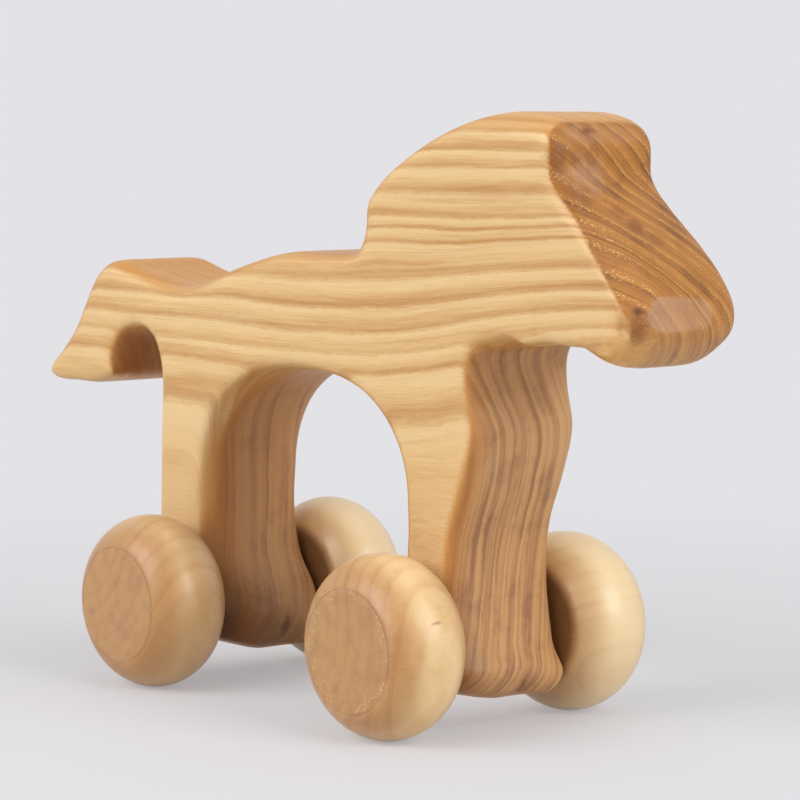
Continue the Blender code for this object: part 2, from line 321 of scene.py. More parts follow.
# Treads of birch: rings in millimetres, where in a ring the darker wood comes and goes, and how the patterns
# show
BIRCH_RING = 3.1
BIRCH_LATE_START = (0.35, 0.8)
BIRCH_LATE_END = (1.0, 0.8)
LATE_SHARE = 0.7
MOTTLE_DARK = (0.38, 0.7, 0.0, 0.6)
TREAD_STREAK_SLOPE = (1.0, 0.4)
SLANT_GRIT = (0.4, 0.75, 0.0, 0.5)
SLANT_LEAN = (0.15, 0.85)
PALER_BY_LEAN = (0.1, 0.9, -1.0, -0.35)

# Discs of birch: how their patterns show, how rare the specks are by the distance from the rim, in
# millimetres, and the frayed rim
DISC_BLOTCH_DARK = (0.4, 0.75, 0.0, 0.6)
DISC_GRIT_DARK = (0.45, 0.75, 0.0, 0.4)
DISC_LATE_SHARE = 0.3
SPECK_SIZE = (0.4, 0.15)
SPECK_RARITY = (6.0, 0.0, 0.95, 0.72)
SPECK_GAPS = (0.42, 0.58, -0.08, 0.22)
SPECK_BY_PAINTED_SHADING = (0.0, 0.3, 0.65, 0.12)
DISC_EDGE = (-0.5, 0.3)
FRAY_SLOPE = (0.5, -0.25)
RIM_WIDTH = (0.35, 0.05)
RIM_BY_MOTTLE = (0.4, 0.6, 0.15, 0.6)

# Inner faces of the wheels, by how far inward a point lies: in shade, with a soft border and no rim line
INNER_SHADE = (0.9, 1.0, 0.0, 0.8)
INNER_SOFTNESS = (0.0, 0.8, 0.0, 1.2)
INNER_RIM = (0.5, 0.0)

# Dowels of beech: how the streaks and the pores show
DOWEL_STREAK_DARK = (0.4, 0.8, 0.0, 0.4)
DOWEL_PORE_DARK = 0.5

# Raggedness and soft edge of a spot
SPOT_RAG_SLOPE = (1.2, -0.6)
SPOT_EDGE = (1.0, 0.2)

# Finish: roughness of the oil, what rubbing and end grain add to it, and the relief of the grain
OIL_DULLNESS = 0.42
DOWEL_DULLNESS = 0.55
RUBBED_SLOPE = (0.2, -0.1)
END_GRAIN_DULLNESS = 0.06
ASH_GLOSS = 0.35
ASH_RELIEF = {"Strength": 0.25, "Distance": 0.12 * MM}
STREAK_RISE = 0.6
PORE_SINK = 0.5
TURNED_RELIEF = {"Strength": 0.2, "Distance": 0.1 * MM}
WHEEL_COAT = 0.5
WHEEL_COAT_ROUGHNESS = 0.3

# Spots in the ash, dark and pale, in millimetres: middle, size and strength
KNOTS = (
    ((87.9, -12.0, 81.8), (1.7, 2.0, 1.3), 0.8),
    ((44.5, 2.6, 6.5), (3.0, 1.2, 5.0), 0.6),
    ((-25.8, 2.0, 10.5), (3.0, 1.6, 4.0), 0.6),
)
RED_STREAKS_AND_SHADE = (
    ((87.6, -11.8, 79.0), (3.0, 2.4, 4.6), 0.55),
    ((86.6, -13.2, 81.0), (3.6, 3.0, 5.0), 0.35),
    ((74.4, -3.2, 98.2), (3.6, 2.6, 2.6), 0.4),
    ((77.0, -1.6, 96.0), (3.6, 2.8, 2.6), 0.55),
    ((79.8, 0.4, 93.8), (3.6, 2.6, 2.6), 0.4),
    ((71.0, -11.5, 103.0), (6.0, 2.2, 7.0), 0.3),
    ((67.4, -11.6, 107.6), (3.5, 2.6, 5.0), 0.55),
    ((66.9, -3.2, 112.6), (2.6, 2.8, 1.1), 0.6),
    # Painted shadow: a dark spot low on the rear leg inside the arch, where the wheels and the front leg keep
    # the light off
    ((-27.0, -4.0, 9.0), (9.0, 12.0, 15.0), 0.4),
)
# A painted sheen on the forelock, in the colour of the fresh cuts
PAINTED_SHEEN_PATCHES = (
    ((68.6, -5.5, 104.5), (4.5, 6.5, 5.5), 0.45),
)
GOLD_PATCHES = (
    ((86.5, -13.4, 80.5), (4.6, 3.0, 6.0), 0.5),
)
HONEY_PATCHES = (
    ((85.2, -12.0, 73.0), (7.5, 7.0, 7.0), 0.65),
)


def srgb(red, green, blue):
    """A colour as a screen shows it, 0 to 255, turned into the linear colour that materials take."""
    levels = [level / 255 for level in (red, green, blue)]
    linear = [level / 12.92 if level <= 0.04045 else ((level + 0.055) / 1.055) ** 2.4 for level in levels]
    return (*linear, 1.0)


# Colours of the oiled woods
ASH_PALE = srgb(240, 202, 143)
ASH_SILK = srgb(246, 216, 166)
ASH_BAND = srgb(200, 144, 80)
ASH_STREAK = srgb(176, 122, 66)
ASH_GOLD = srgb(206, 140, 62)
ASH_HONEY = srgb(242, 188, 114)
ASH_END = srgb(184, 122, 52)
ASH_END_DARK = srgb(122, 72, 30)
ASH_END_LINE = srgb(212, 155, 80)
ASH_LEG_END = srgb(208, 157, 104)
ASH_LEG_DARK = srgb(160, 114, 80)
ASH_LEG_LINE = srgb(226, 180, 128)
ASH_THIGH_PAINTED_LIGHT = srgb(236, 190, 138)
ASH_LEG_EDGE = srgb(186, 117, 44)
ASH_FRESH_AND_SHEEN = srgb(202, 158, 126)
ASH_FLECK = srgb(238, 196, 122)
ASH_RED = srgb(122, 66, 34)
ASH_SHADE = srgb(84, 50, 20)
ASH_KNOT = srgb(78, 46, 36)
BIRCH_PALE = srgb(248, 214, 160)
BIRCH_PAINTED_LIGHT = srgb(251, 226, 180)
BIRCH_BAND = srgb(226, 178, 114)
BIRCH_SLANT = srgb(206, 156, 98)
BIRCH_SLANT_BAND = srgb(184, 131, 76)
BIRCH_DASH = srgb(168, 84, 24)
BIRCH_END = srgb(199, 150, 94)
BIRCH_END_DARK = srgb(176, 127, 82)
BIRCH_INNER = srgb(84, 50, 18)
BIRCH_RIM = srgb(150, 104, 66)
BIRCH_SPECK = srgb(246, 222, 182)
BEECH_PALE = srgb(206, 164, 118)
BEECH_DARK = srgb(160, 112, 70)


# Node helpers

class Bench:
    """Adds nodes to one node tree and wires them up. A wood's bench has the shared effects at hand."""

    def __init__(self, tree, effects=None):
        self.tree = tree
        self.effects = effects

    def add(self, kind, inputs=None, **settings):
        made = self.tree.nodes.new(kind)
        for name, value in settings.items():
            setattr(made, name, value)
        for key, value in (inputs or {}).items():
            self.feed(made.inputs[key], value)
        return made

    def feed(self, socket, value):
        if isinstance(value, bpy.types.NodeSocket):
            self.tree.links.new(value, socket)
        else:
            socket.default_value = value

    def math(self, operation, first, second=0.0, third=0.0):
        return self.add("ShaderNodeMath", {0: first, 1: second, 2: third}, operation=operation).outputs[0]

    def times(self, product, *factors):
        for factor in factors:
            product = self.math("MULTIPLY", product, factor)
        return product

    def plus(self, total, *parts):
        for part in parts:
            total = self.math("ADD", total, part)
        return total

    def sloped(self, value, slope, start):
        return self.math("MULTIPLY_ADD", value, slope, start)

    def weaker(self, value, share, loss):
        """The value, less this part of it where the share is 1."""
        return self.times(value, self.sloped(share, -loss, 1.0))

    def blend(self, share, first, second):
        return self.add("ShaderNodeMix", {0: share, 2: first, 3: second}).outputs[0]

    def vector(self, operation, first, second=(0, 0, 0)):
        return self.add("ShaderNodeVectorMath", {0: first, 1: second}, operation=operation).outputs[0]

    def length(self, vector):
        return self.add("ShaderNodeVectorMath", {0: vector}, operation="LENGTH").outputs["Value"]

    def scaled(self, vector, scale):
        return self.add("ShaderNodeVectorMath", {0: vector, "Scale": scale}, operation="SCALE").outputs[0]

    def split(self, vector):
        return self.add("ShaderNodeSeparateXYZ", {0: vector}).outputs

    def joined(self, x, y, z):
        return self.add("ShaderNodeCombineXYZ", {0: x, 1: y, 2: z}).outputs[0]

    def fade(self, value, start, end, low=0.0, high=1.0):
        inputs = {"Value": value, "From Min": start, "From Max": end, "To Min": low, "To Max": high}
        return self.add("ShaderNodeMapRange", inputs, interpolation_type="SMOOTHSTEP").outputs[0]

    def mix(self, share, first, second):
        return self.add("ShaderNodeMix", {0: share, 6: first, 7: second}, data_type="RGBA").outputs[2]

    def layered(self, colour, layers):
        """A colour with others laid over it one by one, each with its own share."""
        for share, top in layers:
            colour = self.mix(share, colour, top)
        return colour

    def noise(self, place, scale, detail=2.0, roughness=0.5):
        inputs = {"Vector": place, "Scale": scale, "Detail": detail, "Roughness": roughness}
        return self.add("ShaderNodeTexNoise", inputs).outputs

    def chance(self, number):
        """A value from 0 to 1 that is the same for the same number."""
        return self.add("ShaderNodeTexWhiteNoise", {"W": number}, noise_dimensions="1D").outputs["Value"]

    def attribute(self, name, output="Fac"):
        return self.add("ShaderNodeAttribute", attribute_name=name).outputs[output]

    def effect(self, name, inputs):
        """What one of the shared effects puts out."""
        return self.add("ShaderNodeGroup", inputs, node_tree=self.effects[name]).outputs[0]


def new_group(name, kind, inputs, outputs):
    """A node group with named sockets: its bench, what it is given and what it puts out, both by name."""
    tree = bpy.data.node_groups.new(name, kind)
    for socket, (socket_type, value) in inputs.items():
        made = tree.interface.new_socket(socket, in_out="INPUT", socket_type=socket_type)
        if value is not None:
            made.default_value = value
    for socket, socket_type in outputs.items():
        tree.interface.new_socket(socket, in_out="OUTPUT", socket_type=socket_type)
    bench = Bench(tree)
    entry = bench.add("NodeGroupInput")
    finish = bench.add("NodeGroupOutput")
    return bench, entry.outputs, finish.inputs


FLOAT = "NodeSocketFloat"
VECTOR = "NodeSocketVector"
NOISE_MIDDLE = (0.5, 0.5, 0.5)


# Effects that the woods share, or that one wood uses more than once. Places are in millimetres, with the
# fibres along X.

def make_pith_distance():
    """How far a place lay from the middle of the tree, with the fibres' slow wander."""
    bench, given, result = new_group(
        "pith_distance", "ShaderNodeTree",
        {"Place": (VECTOR, None), "Pith": (VECTOR, None), "Wander": (FLOAT, 1.0)},
        {"Radius": FLOAT},
    )
    place = given["Place"]
    for speed, detail, reach in WANDERS:
        stray = bench.noise(bench.vector("MULTIPLY", given["Place"], speed), 1.0, detail)["Color"]
        stray = bench.scaled(bench.vector("SUBTRACT", stray, NOISE_MIDDLE), reach)
        place = bench.vector("ADD", place, bench.scaled(stray, given["Wander"]))
    across = bench.vector("MULTIPLY", bench.vector("SUBTRACT", place, given["Pith"]), (0, 1, 1))
    bench.feed(result["Radius"], bench.length(across))
    return bench.tree


def make_fibre_streaks():
    """Fine streaks along the fibres, 0 to 1."""
    bench, given, result = new_group(
        "fibre_streaks", "ShaderNodeTree",
        {"Place": (VECTOR, None), "Fineness": (FLOAT, 1.5)},
        {"Streak": FLOAT},
    )
    drawn_out = bench.vector("MULTIPLY", given["Place"], STREAK_DRAW)
    bench.feed(result["Streak"], bench.noise(drawn_out, given["Fineness"], *STREAK_NOISE)["Fac"])
    return bench.tree


def make_ring_stripes():
    """Uneven stripes that follow the growth rings, 0 to 1."""
    bench, given, result = new_group(
        "ring_stripes", "ShaderNodeTree",
        {"Place": (VECTOR, None), "Radius": (FLOAT, 0.0), "Fineness": (FLOAT, 1.0)},
        {"Stripe": FLOAT},
    )
    x, y, z = bench.split(given["Place"])
    along = bench.times(x, STRIPE_ALONG)
    round_ring = bench.times(bench.plus(y, z), STRIPE_ROUND)
    unrolled = bench.joined(bench.times(given["Radius"], given["Fineness"]), along, round_ring)
    bench.feed(result["Stripe"], bench.noise(unrolled, 1.0, *STREAK_NOISE)["Fac"])
    return bench.tree


def make_vessel_pores():
    """Open vessels that run with the fibres: dots on end grain, dashes along the side."""
    bench, given, result = new_group(
        "vessel_pores", "ShaderNodeTree",
        {"Place": (VECTOR, None), "Spacing": (FLOAT, 0.5), "Size": (FLOAT, 0.3)},
        {"Pore": FLOAT},
    )
    drawn_out = bench.vector("MULTIPLY", given["Place"], PORE_DRAW)
    scale = bench.math("DIVIDE", 1.0, given["Spacing"])
    cells = bench.add("ShaderNodeTexVoronoi", {"Vector": drawn_out, "Scale": scale})
    core = bench.times(given["Size"], 0.5)
    bench.feed(result["Pore"], bench.fade(cells.outputs["Distance"], given["Size"], core))
    return bench.tree


def make_stain_spot():
    """A ragged spot with a soft edge, 1 in its middle and 0 outside."""
    bench, given, result = new_group(
        "stain_spot", "ShaderNodeTree",
        {"Place": (VECTOR, None), "Centre": (VECTOR, None), "Size": (VECTOR, (1, 1, 1))},
        {"Spot": FLOAT},
    )
    away = bench.vector("DIVIDE", bench.vector("SUBTRACT", given["Place"], given["Centre"]), given["Size"])
    ragged = bench.noise(given["Place"], *SPOT_RAGS)["Fac"]
    reach = bench.plus(bench.length(away), bench.sloped(ragged, *SPOT_RAG_SLOPE))
    bench.feed(result["Spot"], bench.fade(reach, *SPOT_EDGE))
    return bench.tree


def make_oil_sheen():
    """Roughness of a thin coat of oil: duller where the grain drank it, with hand-rubbed patches."""
    bench, given, result = new_group(
        "oil_sheen", "ShaderNodeTree",
        {"Place": (VECTOR, None), "Dullness": (FLOAT, 0.5), "End Grain": (FLOAT, 0.0)},
        {"Roughness": FLOAT},
    )
    rubbed = bench.noise(given["Place"], *RUBBED_PATCHES)["Fac"]
    patchy = bench.sloped(rubbed, *RUBBED_SLOPE)
    drunk = bench.sloped(given["End Grain"], END_GRAIN_DULLNESS, patchy)
    bench.feed(result["Roughness"], bench.plus(given["Dullness"], drunk))
    return bench.tree


# Materials

def new_material(name, effects=None):
    material = bpy.data.materials.new(name)
    material.use_nodes = True
    bench = Bench(material.node_tree, effects)
    shader = material.node_tree.nodes["Principled BSDF"]
    return material, bench, shader


def oil(bench, shader, place, dullness, across):
    """A thin coat of oil on the wood."""
    sheen = bench.effect("oil_sheen", {"Place": place, "Dullness": dullness, "End Grain": across})
    bench.feed(shader.inputs["Roughness"], sheen)


def raise_grain(bench, shader, height, relief):
    """The fine relief that the grain has under a finger."""
    bump = bench.add("ShaderNodeBump", {"Height": height, **relief})
    bench.feed(shader.inputs["Normal"], bump.outputs["Normal"])


# The ash board

def ring_ramp(bench, radius):
    """Number of rings from the pith side of the board to this radius, from the board's own ring widths."""
    total = sum(RING_WIDTHS)
    share = bench.math("DIVIDE", bench.math("SUBTRACT", radius, FIRST_RING), total)
    ramp = bench.add("ShaderNodeValToRGB", {"Fac": share})
    stops = ramp.color_ramp.elements
    stops[0].color = (0, 0, 0, 1)
    stops[1].color = (1, 1, 1, 1)
    reached = 0.0
    for count, width in enumerate(RING_WIDTHS[:-1], start=1):
        reached += width
        level = count / len(RING_WIDTHS)
        stops.new(reached / total).color = (level, level, level, 1)
    return bench.times(ramp.outputs["Color"], float(len(RING_WIDTHS)))


def read_board(bench):
    """Where a point of the horse lies in the board, and how its surface is cut there."""
    board = SimpleNamespace()
    board.place = bench.scaled(bench.add("ShaderNodeTexCoord").outputs["Object"], 1 / MM)
    board.along, board.side, board.height = bench.split(board.place)
    board.end_cut = bench.attribute("end_grain")
    board.fresh_cut = bench.attribute("fresh_cut")
    board.edge_turn = bench.attribute("edge_turn")
    board.on_leg = bench.fade(board.height, *LEG_HEIGHTS)
    board.on_rear_leg = bench.times(bench.fade(board.along, *REAR_LEG_START), board.on_leg)
    # Painted light on the top of each leg, less on the rear one
    on_thigh = bench.times(board.on_leg, bench.fade(board.height, *THIGH_HEIGHTS))
    board.on_thigh = bench.weaker(on_thigh, board.on_rear_leg, REAR_THIGH_LOSS)
    board.on_face = bench.fade(board.along, *FACE_START)
    board.outer = bench.fade(bench.math("ABSOLUTE", board.side), *OUTER_SIDES)
    return board


def grow_rings(bench, board):
    """Add the growth rings to what is known of a point, and the patterns that follow them."""
    from_knot = bench.vector("DIVIDE", bench.vector("SUBTRACT", board.place, SWIRL_CENTRE), SWIRL_SIZE)
    lift = bench.times(bench.fade(bench.length(from_knot), SWIRL_OUTSIDE, 0.0), -SWIRL_RISE)
    risen = bench.vector("ADD", board.place, bench.joined(0.0, 0.0, lift))
    radius = bench.effect("pith_distance", {"Place": risen, "Pith": ASH_PITH, "Wander": ASH_WANDER})
    fuzz = bench.noise(bench.vector("MULTIPLY", risen, FUZZ_DRAW), *FUZZ)["Fac"]
    board.fuzz = bench.math("SUBTRACT", fuzz, 0.5)
    ragged_radius = bench.sloped(board.fuzz, bench.fade(board.end_cut, *FUZZ_BY_CUT), radius)
    board.rings = ring_ramp(bench, ragged_radius)
    board.age = bench.math("FRACT", board.rings)
    board.year_tone = bench.chance(bench.math("FLOOR", board.rings))
    ring = {"Place": risen, "Radius": ragged_radius}
    board.wide_stripe = bench.effect("ring_stripes", {**ring, "Fineness": WIDE_STRIPES})
    board.fine_stripe = bench.effect("ring_stripes", {**ring, "Fineness": FINE_STRIPES})
    leg_stripe = bench.effect("ring_stripes", {**ring, "Fineness": LEG_STRIPES})
    board.end_stripe = bench.blend(board.on_leg, board.fine_stripe, leg_stripe)
    board.streak = bench.effect("fibre_streaks", {"Place": risen, "Fineness": ASH_STREAKS})
    board.fibre = bench.effect("fibre_streaks", {"Place": risen, "Fineness": ASH_FIBRES})
    board.pore = bench.effect("vessel_pores", {"Place": risen, **ASH_PORES})
    from_start = bench.math("PINGPONG", bench.plus(board.rings, -LINE_AGE), 0.5)
    start_line = bench.fade(from_start, bench.blend(board.on_leg, LINE_WIDTH, LEG_LINE_WIDTH), LINE_CORE)
    board.line = bench.math("MAXIMUM", start_line, bench.fade(board.end_stripe, *END_STRIPE_PALE))


def long_grain(bench, board):
    """Pale wood that darkens towards the porous start of each ring, golden along the edges."""
    early = bench.math("POWER", bench.fade(board.age, *EARLY_WOOD), BAND_CURVE)
    early = bench.times(early, bench.fade(board.age, *EARLY_START))
    strength = bench.sloped(board.year_tone, *BAND_YEAR_SLOPE)
    band = bench.times(early, strength, bench.sloped(board.streak, *BAND_STREAK_SLOPE))
    from_seam = bench.math("ABSOLUTE", bench.math("SUBTRACT", board.age, SEAM_AGE))
    seam = bench.times(bench.fade(from_seam, *SEAM_FADE), strength, board.streak, SEAM_BY_STREAK)
    layers = (
        (bench.plus(band, bench.fade(board.wide_stripe, *WIDE_STRIPE_DARK)), ASH_BAND),
        (bench.fade(board.fine_stripe, *FINE_STRIPE_DARK), ASH_BAND),
        (bench.fade(board.fine_stripe, *FINE_STRIPE_PALE), ASH_SILK),
        (bench.fade(board.fibre, *FIBRE_PALE), ASH_SILK),
        (bench.fade(board.fibre, *FIBRE_DARK), ASH_BAND),
        (bench.times(bench.fade(board.age, *PORE_ZONE), board.pore, PORE_DARK), ASH_STREAK),
        (seam, ASH_STREAK),
        (bench.fade(board.age, *SILKY_WOOD), ASH_SILK),
        (bench.fade(board.edge_turn, *EDGE_GOLD), ASH_GOLD),
        (bench.times(board.on_rear_leg, bench.fade(board.height, *REAR_SILK_HEIGHTS)), ASH_SILK),
    )
    return bench.layered(ASH_PALE, layers)


def end_grain(bench, board):
    """Stripes of darker wood, with thin pale lines of pores where each ring starts. The legs are paler, and
    painted light makes their tops paler still.
    """
    middle = bench.mix(board.on_leg, ASH_END, ASH_LEG_END)
    middle = bench.mix(bench.times(board.on_thigh, THIGH_PALE), middle, ASH_THIGH_PAINTED_LIGHT)
    dark = bench.mix(board.on_leg, ASH_END_DARK, ASH_LEG_DARK)
    dark = bench.mix(bench.times(board.on_thigh, THIGH_DARK), dark, ASH_LEG_END)
    pale_line = bench.mix(board.on_leg, ASH_END_LINE, ASH_LEG_LINE)

    blotch = bench.noise(bench.vector("MULTIPLY", board.place, BLOTCH_DRAW), *ASH_BLOTCHES)["Fac"]
    late = bench.times(bench.fade(board.age, *LATE_WOOD), bench.sloped(board.year_tone, *LATE_YEAR_SLOPE))
    dark_share = bench.plus(
        bench.fade(blotch, *BLOTCH_DARK), late, bench.fade(board.end_stripe, *END_STRIPE_DARK)
    )
    dark_share = bench.weaker(dark_share, board.on_rear_leg, REAR_DARK_LOSS)

    # The lines break up into dots, most of all near the board's sides
    patchy = bench.fade(bench.noise(board.place, *LINE_PATCHES)["Fac"], *LINE_BY_PATCH)
    unbroken = bench.sloped(board.outer, *UNBROKEN_SLOPE)
    dotted = bench.times(board.line, patchy, bench.sloped(board.pore, LINE_BY_PORE, unbroken))
    dotted = bench.weaker(dotted, board.on_leg, LEG_LINE_LOSS)
    dotted = bench.weaker(dotted, board.on_rear_leg, REAR_LINE_LOSS)

    edge_start = bench.blend(board.on_rear_leg, FRONT_LEG_EDGE[0], REAR_LEG_EDGE[0])
    edge_end = bench.blend(board.on_rear_leg, FRONT_LEG_EDGE[1], REAR_LEG_EDGE[1])
    leg_edge = bench.times(board.on_leg, bench.fade(board.side, edge_start, edge_end), LEG_EDGE_SHARE)
    # A paler tint on the knife flats: partly fresh wood, partly painted sheen off the flats
    fresh = bench.times(board.fresh_cut, bench.fade(board.side, *FRESH_AND_SHEEN_SIDES))
    layers = ((dark_share, dark), (dotted, pale_line), (leg_edge, ASH_LEG_EDGE), (fresh, ASH_FRESH_AND_SHEEN))
    return bench.layered(middle, layers)


def squareness(bench, board):
    """How squarely the fibres are cut through, 0 to 1, with a ragged border between the two grains."""
    less_on_crown = bench.fade(board.height, *CROWN_HEIGHTS)
    less_on_rear_leg = bench.times(
        board.on_rear_leg,
        bench.fade(board.side, *REAR_ROUND_SIDES),
        bench.fade(board.height, *REAR_ROUND_BOTTOM),
        bench.fade(board.height, *REAR_ROUND_TOP),
    )
    return bench.plus(bench.sloped(board.fuzz, CUT_FUZZ, board.end_cut), less_on_crown, less_on_rear_leg)


def ash_spots(bench, board):
    """The spots in the board, each with its colour: stains and knots, with a painted sheen on the forelock
    and a painted shadow low on the rear leg.
    """
    kinds = (
        (HONEY_PATCHES, ASH_HONEY), (PAINTED_SHEEN_PATCHES, ASH_FRESH_AND_SHEEN), (GOLD_PATCHES, ASH_GOLD),
        (RED_STREAKS_AND_SHADE, ASH_RED), (KNOTS, ASH_KNOT),
    )
    for spots, colour in kinds:
        for centre, size, depth in spots:
            spot = bench.effect("stain_spot", {"Place": board.place, "Centre": centre, "Size": size})
            yield bench.times(spot, depth), colour


def ash_shade(bench, board, across):
    """The places that little light reaches, which are darker than the lamps alone leave them."""
    beside_wheel = bench.times(
        bench.fade(board.side, *BESIDE_WHEEL_SIDES),
        bench.fade(board.height, *BESIDE_WHEEL_HEIGHTS),
        bench.fade(board.end_cut, *BESIDE_WHEEL_CUT),
        bench.sloped(board.on_rear_leg, *BESIDE_WHEEL_SLOPE),
    )
    low_leg = bench.times(board.on_rear_leg, bench.fade(board.height, *LOW_LEG_HEIGHTS), across)
    under_tail = bench.times(
        bench.fade(board.along, *TAIL_SLOT_FRONT),
        bench.fade(board.along, *TAIL_SLOT_BACK),
        bench.fade(board.height, *TAIL_SLOT_HEIGHTS),
        across,
    )
    for shade in (beside_wheel, low_leg, under_tail):
        yield shade, ASH_SHADE


def make_ash(effects):
    material, bench, shader = new_material("oiled_ash", effects)
    board = read_board(bench)
    grow_rings(bench, board)

    # Golden where the fibres are cut at a slant, brown where they are cut across
    cut = squareness(bench, board)
    slant = bench.fade(cut, *SLANT_CUT, 0.0, bench.sloped(board.on_face, *SLANT_FACE_SLOPE))
    across = bench.fade(cut, ACROSS_START, bench.sloped(board.on_face, *ACROSS_FACE_SLOPE))
    fleck = bench.times(board.line, board.pore, bench.fade(cut, *FLECK_CUT), board.outer)
    layers = [
        (slant, ASH_GOLD),
        (across, end_grain(bench, board)),
        (bench.weaker(fleck, board.on_leg, LEG_FLECK_LOSS), ASH_FLECK),
        *ash_spots(bench, board),
        *ash_shade(bench, board, across),
    ]
    bench.feed(shader.inputs["Base Color"], bench.layered(long_grain(bench, board), layers))
    bench.feed(shader.inputs["Specular IOR Level"], ASH_GLOSS)
    oil(bench, shader, board.place, OIL_DULLNESS, across)
    height = bench.plus(bench.times(board.streak, STREAK_RISE), bench.times(board.pore, -PORE_SINK))
    raise_grain(bench, shader, height, ASH_RELIEF)
    return material


# The birch of the wheels

def read_blank(bench):
    """Where a point of a wheel lies on the wheel and in the blank it was turned from, and the grain there."""
    blank = SimpleNamespace()
    blank.place = bench.scaled(bench.attribute("blank_place", "Vector"), 1 / MM)
    blank.inset = bench.times(bench.attribute("disc_inset"), 1 / MM)
    blank.end_cut = bench.attribute("end_grain")
    blank.inward = bench.attribute("inward")
    blank.tone = bench.attribute("tone")
    radius = bench.effect("pith_distance", {"Place": blank.place, "Pith": (0, 0, 0), "Wander": BIRCH_WANDER})
    rings = bench.math("DIVIDE", radius, BIRCH_RING)
    age = bench.math("FRACT", rings)
    blank.late = bench.times(
        bench.fade(age, *BIRCH_LATE_START),
        bench.fade(age, *BIRCH_LATE_END),
        bench.chance(bench.math("FLOOR", rings)),
    )
    blank.streak = bench.effect("fibre_streaks", {"Place": blank.place, "Fineness": BIRCH_STREAKS})
    blank.mottle = bench.noise(bench.vector("MULTIPLY", blank.place, MOTTLE_DRAW), *MOTTLE)["Fac"]
    blank.grit = bench.noise(blank.place, *GRIT)["Fac"]
    return blank


def tread_grain(bench, blank):
    """Pale long grain, browner where the tread leans over and the fibres are cut at a slant."""
    shade = bench.plus(bench.times(blank.late, LATE_SHARE), bench.fade(blank.mottle, *MOTTLE_DARK))
    shade = bench.times(shade, bench.sloped(blank.streak, *TREAD_STREAK_SLOPE))
    slant_shade = bench.plus(shade, bench.fade(blank.grit, *SLANT_GRIT))
    slanted = bench.mix(slant_shade, BIRCH_SLANT, BIRCH_SLANT_BAND)
    paler = bench.times(blank.tone, bench.fade(blank.end_cut, *PALER_BY_LEAN))
    dash = bench.effect("stain_spot", {"Place": blank.place, "Centre": DASH_PLACE, "Size": DASH_SIZE})
    layers = (
        (shade, BIRCH_BAND),
        (dash, BIRCH_DASH),
        (bench.fade(blank.end_cut, *SLANT_LEAN), slanted),
        # Painted shade and painted light: each wheel's painted shading darkens its tread where positive and
        # pales it where negative
        (bench.math("MAXIMUM", blank.tone, 0.0), BIRCH_SLANT_BAND),
        (bench.math("MAXIMUM", paler, 0.0), BIRCH_PAINTED_LIGHT),
    )
    return bench.layered(BIRCH_PALE, layers)


def disc_grain(bench, blank):
    """Brown end grain with sawn specks, most of them near the rim. The inner faces lie in shade."""
    blotch = bench.noise(blank.place, *DISC_BLOTCHES)["Fac"]
    shade = bench.plus(
        bench.fade(blotch, *DISC_BLOTCH_DARK),
        bench.times(blank.late, DISC_LATE_SHARE),
        bench.fade(blank.grit, *DISC_GRIT_DARK),
    )
    cells = bench.add("ShaderNodeTexVoronoi", {"Vector": blank.place, "Scale": BIRCH_SPECKS}).outputs
    rarity = bench.plus(bench.fade(blank.inset, *SPECK_RARITY), bench.fade(blotch, *SPECK_GAPS))
    speck = bench.times(
        bench.fade(cells["Distance"], *SPECK_SIZE),
        bench.math("GREATER_THAN", bench.split(cells["Color"])[0], rarity),
        # Fewer specks show on a wheel with painted shade
        bench.fade(blank.tone, *SPECK_BY_PAINTED_SHADING),
    )
    layers = (
        (shade, BIRCH_END_DARK),
        (speck, BIRCH_SPECK),
        (bench.fade(blank.inward, *INNER_SHADE), BIRCH_INNER),
    )
    return bench.layered(BIRCH_END, layers)


def make_birch(effects):
    material, bench, shader = new_material("oiled_birch", effects)
    blank = read_blank(bench)
    fray = bench.sloped(bench.noise(blank.place, *DISC_FRAY)["Fac"], *FRAY_SLOPE)
    inset = bench.plus(blank.inset, fray)
    softness = bench.fade(blank.inward, *INNER_SOFTNESS)
    edge_start = bench.math("SUBTRACT", DISC_EDGE[0], softness)
    across = bench.fade(inset, edge_start, bench.plus(DISC_EDGE[1], softness))
    rim = bench.times(
        bench.fade(bench.math("ABSOLUTE", inset), *RIM_WIDTH),
        bench.fade(blank.mottle, *RIM_BY_MOTTLE),
        bench.fade(blank.inward, *INNER_RIM),
    )
    colour = bench.layered(tread_grain(bench, blank), ((across, disc_grain(bench, blank)), (rim, BIRCH_RIM)))
    bench.feed(shader.inputs["Base Color"], colour)
    bench.feed(shader.inputs["Coat Weight"], WHEEL_COAT)
    bench.feed(shader.inputs["Coat Roughness"], WHEEL_COAT_ROUGHNESS)
    oil(bench, shader, blank.place, OIL_DULLNESS, across)
    raise_grain(bench, shader, bench.blend(across, blank.streak, blank.grit), TURNED_RELIEF)
    return material


# The beech of the dowels

def make_beech(effects):
    material, bench, shader = new_material("beech_dowel", effects)
    coordinates = bench.add("ShaderNodeTexCoord")
    turned = bench.add("ShaderNodeMapping", {"Vector": coordinates.outputs["Object"]})
    turned.inputs["Rotation"].default_value = (0, 0, -math.pi / 2)
    place = bench.scaled(turned.outputs["Vector"], 1 / MM)
    streak = bench.effect("fibre_streaks", {"Place": place, "Fineness": BEECH_STREAKS})
    pore = bench.effect("vessel_pores", {"Place": place, **BEECH_PORES})
    shade = bench.plus(bench.fade(streak, *DOWEL_STREAK_DARK), bench.times(pore, DOWEL_PORE_DARK))
    bench.feed(shader.inputs["Base Color"], bench.mix(shade, BEECH_PALE, BEECH_DARK))
    oil(bench, shader, place, DOWEL_DULLNESS, 0.0)
    raise_grain(bench, shader, streak, TURNED_RELIEF)
    return material


# The horse

